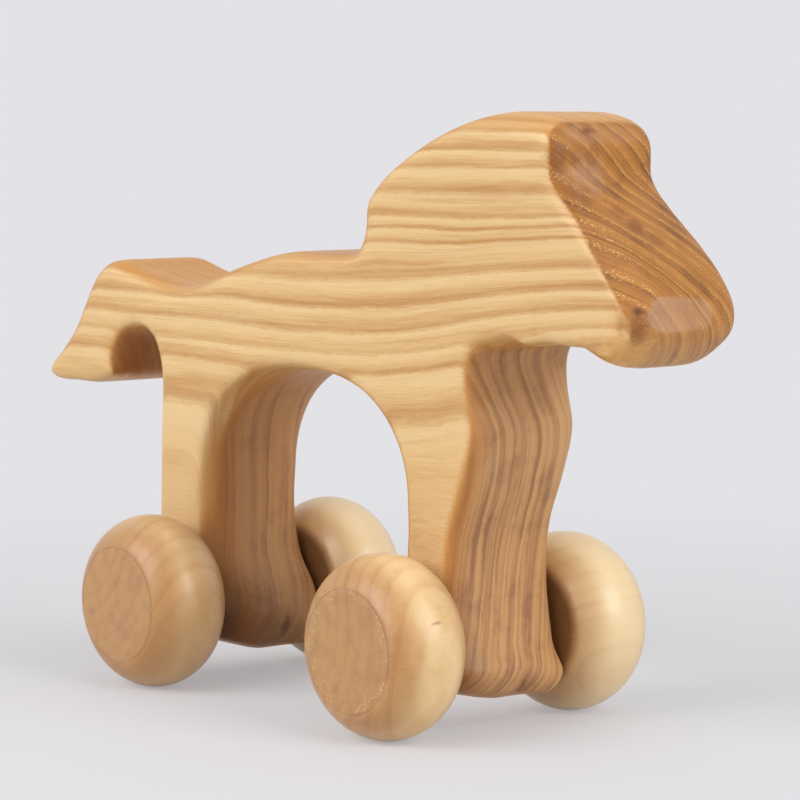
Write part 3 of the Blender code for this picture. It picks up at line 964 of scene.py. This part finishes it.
def plain_mesh(item, name):
    """The object's mesh as its modifiers leave it, as a plain mesh of its own."""
    graph = bpy.context.evaluated_depsgraph_get()
    mesh = bpy.data.meshes.new_from_object(item.evaluated_get(graph))
    mesh.name = name
    item.modifiers.clear()
    return mesh


def add_piece(name, mesh):
    item = bpy.data.objects.new(name, mesh)
    bpy.context.scene.collection.objects.link(item)
    return item


def merged_copy(node_name, name):
    """A copy of a solid's mesh with its loose triangles joined."""
    bm = bmesh.new()
    bm.from_mesh(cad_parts[node_name].data)
    bmesh.ops.remove_doubles(bm, verts=bm.verts, dist=MERGE_DISTANCE)
    mesh = bpy.data.meshes.new(name)
    bm.to_mesh(mesh)
    bm.free()
    mesh.materials.clear()
    return mesh


def sand(points, edges, passes, cut):
    """Draw each point towards the middle of its neighbours, by its own share of cut."""
    count = len(points)
    neighbours = np.bincount(edges.ravel(), minlength=count)
    for _ in range(passes):
        for axis in range(3):
            level = points[:, axis]
            total = np.bincount(edges[:, 0], level[edges[:, 1]], count)
            total += np.bincount(edges[:, 1], level[edges[:, 0]], count)
            points[:, axis] = level + (total / neighbours - level) * cut
    return points


def nearness(distances, reach):
    """1 at no distance or less, falling smoothly to 0 at the reach."""
    share = np.clip(1 - distances / reach, 0, 1)
    return share * share * (3 - 2 * share)


def sand_hard(points, edges):
    """Rub down the chin and the throat, alike on both sides of the board."""
    for place, reach, passes in HARD_SANDING.values():
        folded = points * (1, 0, 1) + np.abs(points) * (0, 1, 0)
        near = nearness(np.linalg.norm(folded - np.array(place), axis=1), reach)
        points = sand(points, edges, passes, SANDING_CUT * near)
    return points


def square_feet(points):
    """Fill out the rounded edge under each foot towards a square corner, on the far side only."""
    low = points[:, 2] < FOOT_TOP + FOOT_BLEND
    middle = points[low & (np.abs(points[:, 1] - FOOT_EDGE_START) < FINE_MESH)]
    outline = KDTree(len(middle))
    for index, (x, _, z) in enumerate(middle):
        outline.insert((x, 0, z), index)
    outline.balance()
    for index in np.flatnonzero(low & (points[:, 1] > FOOT_EDGE_START)):
        x, y, z = points[index]
        nearest, _, depth = outline.find((x, 0, z))
        across = (y - FOOT_EDGE_START) / FOOT_EDGE_WIDTH
        down = 1 - depth / FOOT_EDGE_DEPTH
        if down <= 0 or depth == 0:
            continue
        square = (across ** FOOT_SQUARENESS + down ** FOOT_SQUARENESS) ** (1 / FOOT_SQUARENESS)
        growth = (math.hypot(across, down) / square - 1) * nearness(z - FOOT_TOP, FOOT_BLEND)
        sideways = growth * across * FOOT_EDGE_WIDTH
        outward = growth * down * FOOT_EDGE_DEPTH / depth
        points[index] += ((nearest.x - x) * outward, sideways, (nearest.z - z) * outward)
    return points


def drop_toes(points):
    """Let the far side of each toe and heel hang lower, clear of the axle's hole."""
    for node_name in ("front_axle", "rear_axle"):
        low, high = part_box(node_name)
        from_axle = np.abs(points[:, 0] - (low.x + high.x) / 2 / MM)
        near = nearness(TOE_REACH[1] - from_axle, TOE_REACH[1] - TOE_REACH[0]) * (from_axle < FOOT_SPAN)
        far_side = nearness(TOE_SIDES[1] - points[:, 1], TOE_SIDES[1] - TOE_SIDES[0])
        height = nearness(points[:, 2] - TOE_HEIGHTS[0], TOE_HEIGHTS[1] - TOE_HEIGHTS[0])
        points[:, 2] -= TOE_DROP * near * far_side * height
    return points


def cut_flats(points):
    """Take off what stands above each knife flat, and tell how freshly cut each point is, 0 to 1, which also
    sets the painted sheen off the flats.
    """
    fresh = np.zeros(len(points))
    for place, facing, reach, softness, freshness_and_sheen in KNIFE_FLATS.values():
        away = points - np.array(place)
        facing = np.array(facing) / np.linalg.norm(facing)
        past_middle = np.linalg.norm(away, axis=1) - reach * (1 - FLAT_BORDER)
        standing = np.logaddexp(0, away @ facing / softness) * softness
        cut = standing * nearness(past_middle, reach * FLAT_BORDER)
        fresh = np.maximum(fresh, freshness_and_sheen * np.clip(cut / FRESH_AND_SHEEN_DEPTH, 0, 1))
        points = points - cut[:, None] * facing
    return points, fresh


def scallop_throat(points):
    """Raise the throat in short arcs."""
    near = nearness(points[:, 2] - THROAT_HEIGHT, THROAT_REACH)
    for place, rise, reach in SCALLOPS:
        points[:, 2] += rise * nearness(np.abs(points[:, 0] - place), reach) * near
    return points


def cut_nick(points, normals):
    """Press a short groove into the forelock."""
    start, end = (np.array(corner) for corner in NICK_ENDS)
    along = np.clip((points - start) @ (end - start) / np.sum((end - start) ** 2), 0, 1)
    distances = np.linalg.norm(points - start - along[:, None] * (end - start), axis=1)
    return points - normals * (NICK_DEPTH * nearness(distances, NICK_WIDTH))[:, None]


def wave_surface(points, normals):
    """Sink the surface a little in slow waves, never outwards."""
    waves = np.array([noise.noise(Vector(point) / WAVE_LENGTH) for point in points])
    sunk = WAVE_DEPTH * np.clip(0.5 + 0.5 * waves, 0, 1)
    return points - normals * sunk[:, None]


def read_points(mesh):
    """The mesh's vertices, in millimetres."""
    points = np.empty(len(mesh.vertices) * 3)
    mesh.vertices.foreach_get("co", points)
    return points.reshape(-1, 3) / MM


def write_points(mesh, points):
    """Move the mesh's vertices, and give their normals afterwards."""
    mesh.vertices.foreach_set("co", points.ravel() * MM)
    mesh.update()
    normals = np.empty(len(mesh.vertices) * 3)
    mesh.vertices.foreach_get("normal", normals)
    return normals.reshape(-1, 3)


def mark_points(mesh, name, values):
    """Keep a number with each vertex, for the material to read."""
    mesh.attributes.new(name, "FLOAT", "POINT").data.foreach_set("value", values.astype(np.float32))


def add_horse(ash):
    horse = add_piece("horse_sanded", merged_copy("horse_body", "horse_sanded"))
    remesh = horse.modifiers.new("fine_mesh", "REMESH")
    remesh.mode = "VOXEL"
    remesh.voxel_size = FINE_MESH * MM
    rough = horse.data
    horse.data = plain_mesh(horse, "horse_sanded")
    bpy.data.meshes.remove(rough)
    mesh = horse.data
    edges = np.empty(len(mesh.edges) * 2, dtype=np.int32)
    mesh.edges.foreach_get("vertices", edges)
    edges = edges.reshape(-1, 2)
    points = sand(drop_toes(square_feet(read_points(mesh))), edges, SANDING_PASSES, SANDING_CUT)
    points = scallop_throat(sand_hard(points, edges))
    normals = write_points(mesh, points)
    points, fresh = cut_flats(wave_surface(points, normals))
    normals = write_points(mesh, points)
    normals = write_points(mesh, cut_nick(points, normals))
    mesh.shade_smooth()
    mark_points(mesh, "end_grain", np.hypot(normals[:, 0], TOP_SLANT * normals[:, 2]))
    mark_points(mesh, "fresh_cut", fresh)
    mark_points(mesh, "edge_turn", (1 - np.abs(normals[:, 1])) * np.clip(EDGE_GLOW + normals[:, 2], 0, 1))
    mesh.materials.append(ash)
    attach(horse, "horse")
    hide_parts("horse_body")


# The wheels

def make_turned_wheel():
    """A wheel turned about the Y axis: flat discs, a round tread, a blind hole for the axle."""
    bench, given, result = new_group(
        "turned_wheel", "GeometryNodeTree",
        {
            "Wheel Diameter": (FLOAT, USUAL_WHEEL_DIAMETER),
            "Wheel Width": (FLOAT, USUAL_WHEEL_WIDTH),
            "Disc Diameter": (FLOAT, DISC_DIAMETER),
            "Edge Softness": (FLOAT, DISC_EDGE_SOFTNESS),
            "Hole Diameter": (FLOAT, AXLE_HOLE_DIAMETER),
            "Hole Depth": (FLOAT, AXLE_HOLE_DEPTH),
            "Middle": (VECTOR, None),
            "Outward": (FLOAT, 1.0),
            "Blank Turn": (FLOAT, 0.0),
            "Pith Distance": (FLOAT, USUAL_PITH_DISTANCE),
            "Painted Shading": (FLOAT, 0.0),
            "Material": ("NodeSocketMaterial", None),
        },
        {"Geometry": "NodeSocketGeometry"},
    )
    half_width = bench.times(given["Wheel Width"], 0.5)
    wheel_radius = bench.times(given["Wheel Diameter"], 0.5)
    disc_radius = bench.times(given["Disc Diameter"], 0.5)

    # The tread is the circle through both disc edges and the middle of the tread
    crown = bench.math("SUBTRACT", wheel_radius, disc_radius)
    squares = bench.plus(bench.math("POWER", half_width, 2.0), bench.math("POWER", crown, 2.0))
    tread_radius = bench.math("DIVIDE", squares, bench.times(crown, 2.0))
    tread_centre = bench.math("SUBTRACT", wheel_radius, tread_radius)

    # A grid bent round: one way is the section from face to face, the other the turn about the axle
    grid = bench.add(
        "GeometryNodeMeshGrid",
        {"Size X": 1.0, "Size Y": 1.0, "Vertices X": SECTION_STEPS + 1, "Vertices Y": TURN_STEPS + 1},
    )
    corner = bench.split(bench.add("GeometryNodeInputPosition").outputs[0])
    lean = bench.times(bench.plus(corner[0], 0.5), math.pi)
    turn = bench.times(bench.plus(corner[1], 0.5), math.tau, given["Outward"])
    lean_cos = bench.math("COSINE", lean)
    lean_sin = bench.math("SINE", lean)
    steepness = bench.math("ABSOLUTE", lean_cos)
    to_disc = bench.math("DIVIDE", half_width, bench.math("MAXIMUM", steepness, LEAST_COSINE))
    sunk = bench.math("POWER", bench.times(tread_centre, lean_cos), 2.0)
    root = bench.math("SQRT", bench.math("SUBTRACT", bench.math("POWER", tread_radius, 2.0), sunk))
    to_tread = bench.plus(bench.times(tread_centre, lean_sin), root)

    # A ray close to the axle only meets a disc, so the tread is put out of its reach
    steep_side = bench.times(tread_centre, steepness)
    close_to_axle = bench.math("LESS_THAN", bench.times(tread_radius, lean_sin), steep_side)
    to_tread = bench.plus(to_tread, close_to_axle)
    reach = bench.math("SMOOTH_MIN", to_disc, to_tread, given["Edge Softness"])
    radius = bench.times(reach, lean_sin)
    out = bench.times(reach, lean_cos, given["Outward"])
    x = bench.times(radius, bench.math("COSINE", turn))
    z = bench.times(radius, bench.math("SINE", turn))
    place = bench.vector("ADD", bench.joined(x, out, z), given["Middle"])
    bent = bench.add("GeometryNodeSetPosition", {"Geometry": grid.outputs["Mesh"], "Position": place})
    closed = bench.add(
        "GeometryNodeMergeByDistance", {"Geometry": bent.outputs[0], "Distance": MERGE_DISTANCE}
    )

    # The blind hole, drilled from the inner face
    hole_radius = bench.times(given["Hole Diameter"], 0.5)
    drill_depth = bench.times(given["Hole Depth"], 2.0)
    drill = bench.add(
        "GeometryNodeMeshCylinder",
        {"Vertices": TURN_STEPS // 2, "Radius": hole_radius, "Depth": drill_depth},
    )
    inner = bench.times(half_width, -1.0, given["Outward"])
    drill_place = bench.vector("ADD", given["Middle"], bench.joined(0.0, inner, 0.0))
    set_up = bench.add(
        "GeometryNodeTransform",
        {"Geometry": drill.outputs["Mesh"], "Translation": drill_place, "Rotation": (math.pi / 2, 0, 0)},
    )
    drilled = bench.add("GeometryNodeMeshBoolean", operation="DIFFERENCE", solver="EXACT")
    bench.feed(drilled.inputs["Mesh 1"], closed.outputs[0])
    bench.feed(drilled.inputs["Mesh 2"], set_up.outputs[0])

    # What the wood's pattern follows: how far inside the disc's rim, the slant, and the place in the blank
    here = bench.vector("SUBTRACT", bench.add("GeometryNodeInputPosition").outputs[0], given["Middle"])
    from_axle = bench.length(bench.vector("MULTIPLY", here, (1, 0, 1)))
    facing = bench.split(bench.add("GeometryNodeInputNormal").outputs[0])
    outward = bench.math("DIVIDE", bench.times(bench.split(here)[1], given["Outward"]), half_width)
    spun = bench.add(
        "ShaderNodeVectorRotate", {"Vector": here, "Axis": (0, 1, 0), "Angle": given["Blank Turn"]},
        rotation_type="AXIS_ANGLE",
    )
    in_blank = bench.split(spun.outputs[0])
    from_pith = bench.plus(in_blank[2], given["Pith Distance"])
    # Each wheel's painted shading, painted shade or painted light, is kept with its points for the material
    marks = (
        ("disc_inset", "FLOAT", bench.math("SUBTRACT", disc_radius, from_axle)),
        ("end_grain", "FLOAT", bench.math("ABSOLUTE", facing[1])),
        ("inward", "FLOAT", bench.times(outward, -1.0)),
        ("tone", "FLOAT", given["Painted Shading"]),
        ("blank_place", "FLOAT_VECTOR", bench.joined(in_blank[1], in_blank[0], from_pith)),
    )
    marked = drilled
    for name, data_type, value in marks:
        marked = bench.add(
            "GeometryNodeStoreNamedAttribute",
            {"Geometry": marked.outputs[0], "Name": name, "Value": value},
            data_type=data_type, domain="POINT",
        )
    realized = bench.add("GeometryNodeRealizeInstances", {"Geometry": marked.outputs[0]})
    dressed = bench.add(
        "GeometryNodeSetMaterial", {"Geometry": realized.outputs[0], "Material": given["Material"]}
    )
    bench.feed(result["Geometry"], dressed.outputs[0])
    return bench.tree


def set_inputs(modifier, values):
    """Set a Geometry Nodes modifier's inputs by their names, through the sockets' identifiers."""
    for socket in modifier.node_group.interface.items_tree:
        if socket.item_type == "SOCKET" and socket.in_out == "INPUT" and socket.name in values:
            modifier[socket.identifier] = values[socket.name]


def add_wheel(node_name, body, tree, birch):
    low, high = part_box(node_name)
    middle = (low + high) / 2
    turn, pith_distance, tone = BLANKS[node_name]
    name = node_name + "_turned"
    wheel = add_piece(name, bpy.data.meshes.new(name))
    lathe = wheel.modifiers.new("lathe", "NODES")
    lathe.node_group = tree
    set_inputs(lathe, {
        "Wheel Diameter": high.x - low.x,
        "Wheel Width": high.y - low.y,
        "Disc Diameter": DISC_DIAMETER,
        "Edge Softness": DISC_EDGE_SOFTNESS,
        "Hole Diameter": AXLE_HOLE_DIAMETER,
        "Hole Depth": AXLE_HOLE_DEPTH,
        "Middle": middle,
        "Outward": math.copysign(1.0, middle.y),
        "Blank Turn": turn,
        "Pith Distance": pith_distance,
        "Painted Shading": tone,
        "Material": birch,
    })
    wheel.data = plain_mesh(wheel, name)
    wheel.data.shade_smooth()
    wheel.data.set_sharp_from_angle(angle=SMOOTH_ANGLE)
    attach(wheel, body)
    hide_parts(node_name)


# Studio

def seen_directly(bench):
    """1 for what the camera sees by itself, in a mirror or through glass, and 0 for light that is bounced."""
    seen = bench.add("ShaderNodeLightPath").outputs
    direct = bench.math("MAXIMUM", seen["Is Camera Ray"], seen["Is Glossy Ray"])
    return bench.math("MAXIMUM", direct, seen["Is Transmission Ray"])


def mix_shaders(bench, share, first, second):
    mixed = bench.add("ShaderNodeMixShader", {0: share})
    bench.feed(mixed.inputs[1], first.outputs[0])
    bench.feed(mixed.inputs[2], second.outputs[0])
    return mixed.outputs[0]


def add_floor():
    mesh = bpy.data.meshes.new("floor")
    corners = [(-FLOOR_REACH, -FLOOR_REACH, 0), (FLOOR_REACH, -FLOOR_REACH, 0)]
    corners += [(FLOOR_REACH, FLOOR_REACH, 0), (-FLOOR_REACH, FLOOR_REACH, 0)]
    mesh.from_pydata(corners, [], [(0, 1, 2, 3)])
    floor = add_piece("floor", mesh)
    material, bench, shader = new_material("pale_floor")
    bench.feed(shader.inputs["Roughness"], FLOOR_ROUGHNESS)
    bench.feed(shader.inputs["Specular IOR Level"], FLOOR_GLOSS)
    place = bench.add("ShaderNodeTexCoord").outputs["Object"]
    # Painted light: near the horse the floor glows in part, which lightens its shadows; farther out it
    # becomes the backdrop
    far = bench.fade(bench.length(place), *FLOOR_FADE, FLOOR_LIFT, 1.0)
    direct = seen_directly(bench)
    bench.feed(shader.inputs["Base Color"], bench.mix(direct, FLOOR_BOUNCE, FLOOR_COLOUR))
    backdrop = bench.add("ShaderNodeEmission", {"Color": PALE_GREY, "Strength": 1.0})
    surface = mix_shaders(bench, bench.times(far, direct), shader, backdrop)
    bench.feed(material.node_tree.nodes["Material Output"].inputs["Surface"], surface)
    mesh.materials.append(material)


def add_sky():
    world = bpy.data.worlds.new("light_tent")
    world.use_nodes = True
    bpy.context.scene.world = world
    bench = Bench(world.node_tree)
    tent = world.node_tree.nodes["Background"]
    bench.feed(tent.inputs["Color"], TENT_WHITE)
    bench.feed(tent.inputs["Strength"], SKY_STRENGTH)
    backdrop = bench.add("ShaderNodeBackground", {"Color": PALE_GREY, "Strength": 1.0})
    surface = mix_shaders(bench, seen_directly(bench), tent, backdrop)
    bench.feed(world.node_tree.nodes["World Output"].inputs["Surface"], surface)


def add_lamps():
    for name, (place, size, power) in SOFTBOXES.items():
        lamp = bpy.data.lights.new(name, "AREA")
        lamp.shape = "SQUARE"
        lamp.size = size
        lamp.energy = power
        softbox = bpy.data.objects.new(name, lamp)
        bpy.context.scene.collection.objects.link(softbox)
        softbox.location = place
        aim = CAMERA_TARGET - softbox.location
        softbox.rotation_euler = aim.to_track_quat("-Z", "Y").to_euler()


def add_camera():
    view = bpy.data.cameras.new("photo_camera")
    view.lens = CAMERA_LENS
    view.sensor_width = CAMERA_SENSOR
    view.clip_start = CAMERA_CLIP
    camera = bpy.data.objects.new("photo_camera", view)
    bpy.context.scene.collection.objects.link(camera)
    back = Vector((
        math.sin(CAMERA_AZIMUTH) * math.cos(CAMERA_ELEVATION),
        -math.cos(CAMERA_AZIMUTH) * math.cos(CAMERA_ELEVATION),
        math.sin(CAMERA_ELEVATION),
    ))
    camera.location = CAMERA_TARGET + back * CAMERA_DISTANCE
    aim = (-back).to_track_quat("-Z", "Y").to_matrix()
    camera.rotation_euler = (aim @ Matrix.Rotation(CAMERA_ROLL, 3, "Z")).to_euler()
    bpy.context.scene.camera = camera


def main():
    effects = {
        "pith_distance": make_pith_distance(),
        "fibre_streaks": make_fibre_streaks(),
        "ring_stripes": make_ring_stripes(),
        "vessel_pores": make_vessel_pores(),
        "stain_spot": make_stain_spot(),
        "oil_sheen": make_oil_sheen(),
    }
    ash = make_ash(effects)
    birch = make_birch(effects)
    beech = make_beech(effects)
    add_horse(ash)
    lathe = make_turned_wheel()
    for end in ("front", "rear"):
        for hand in ("left", "right"):
            add_wheel(f"{end}_{hand}_wheel", f"{end}_wheelset", lathe, birch)
        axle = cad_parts[f"{end}_axle"]
        axle.data.materials.clear()
        axle.data.materials.append(beech)
    add_floor()
    add_sky()
    add_lamps()
    add_camera()
    bpy.context.scene.view_settings.view_transform = "Standard"


main()
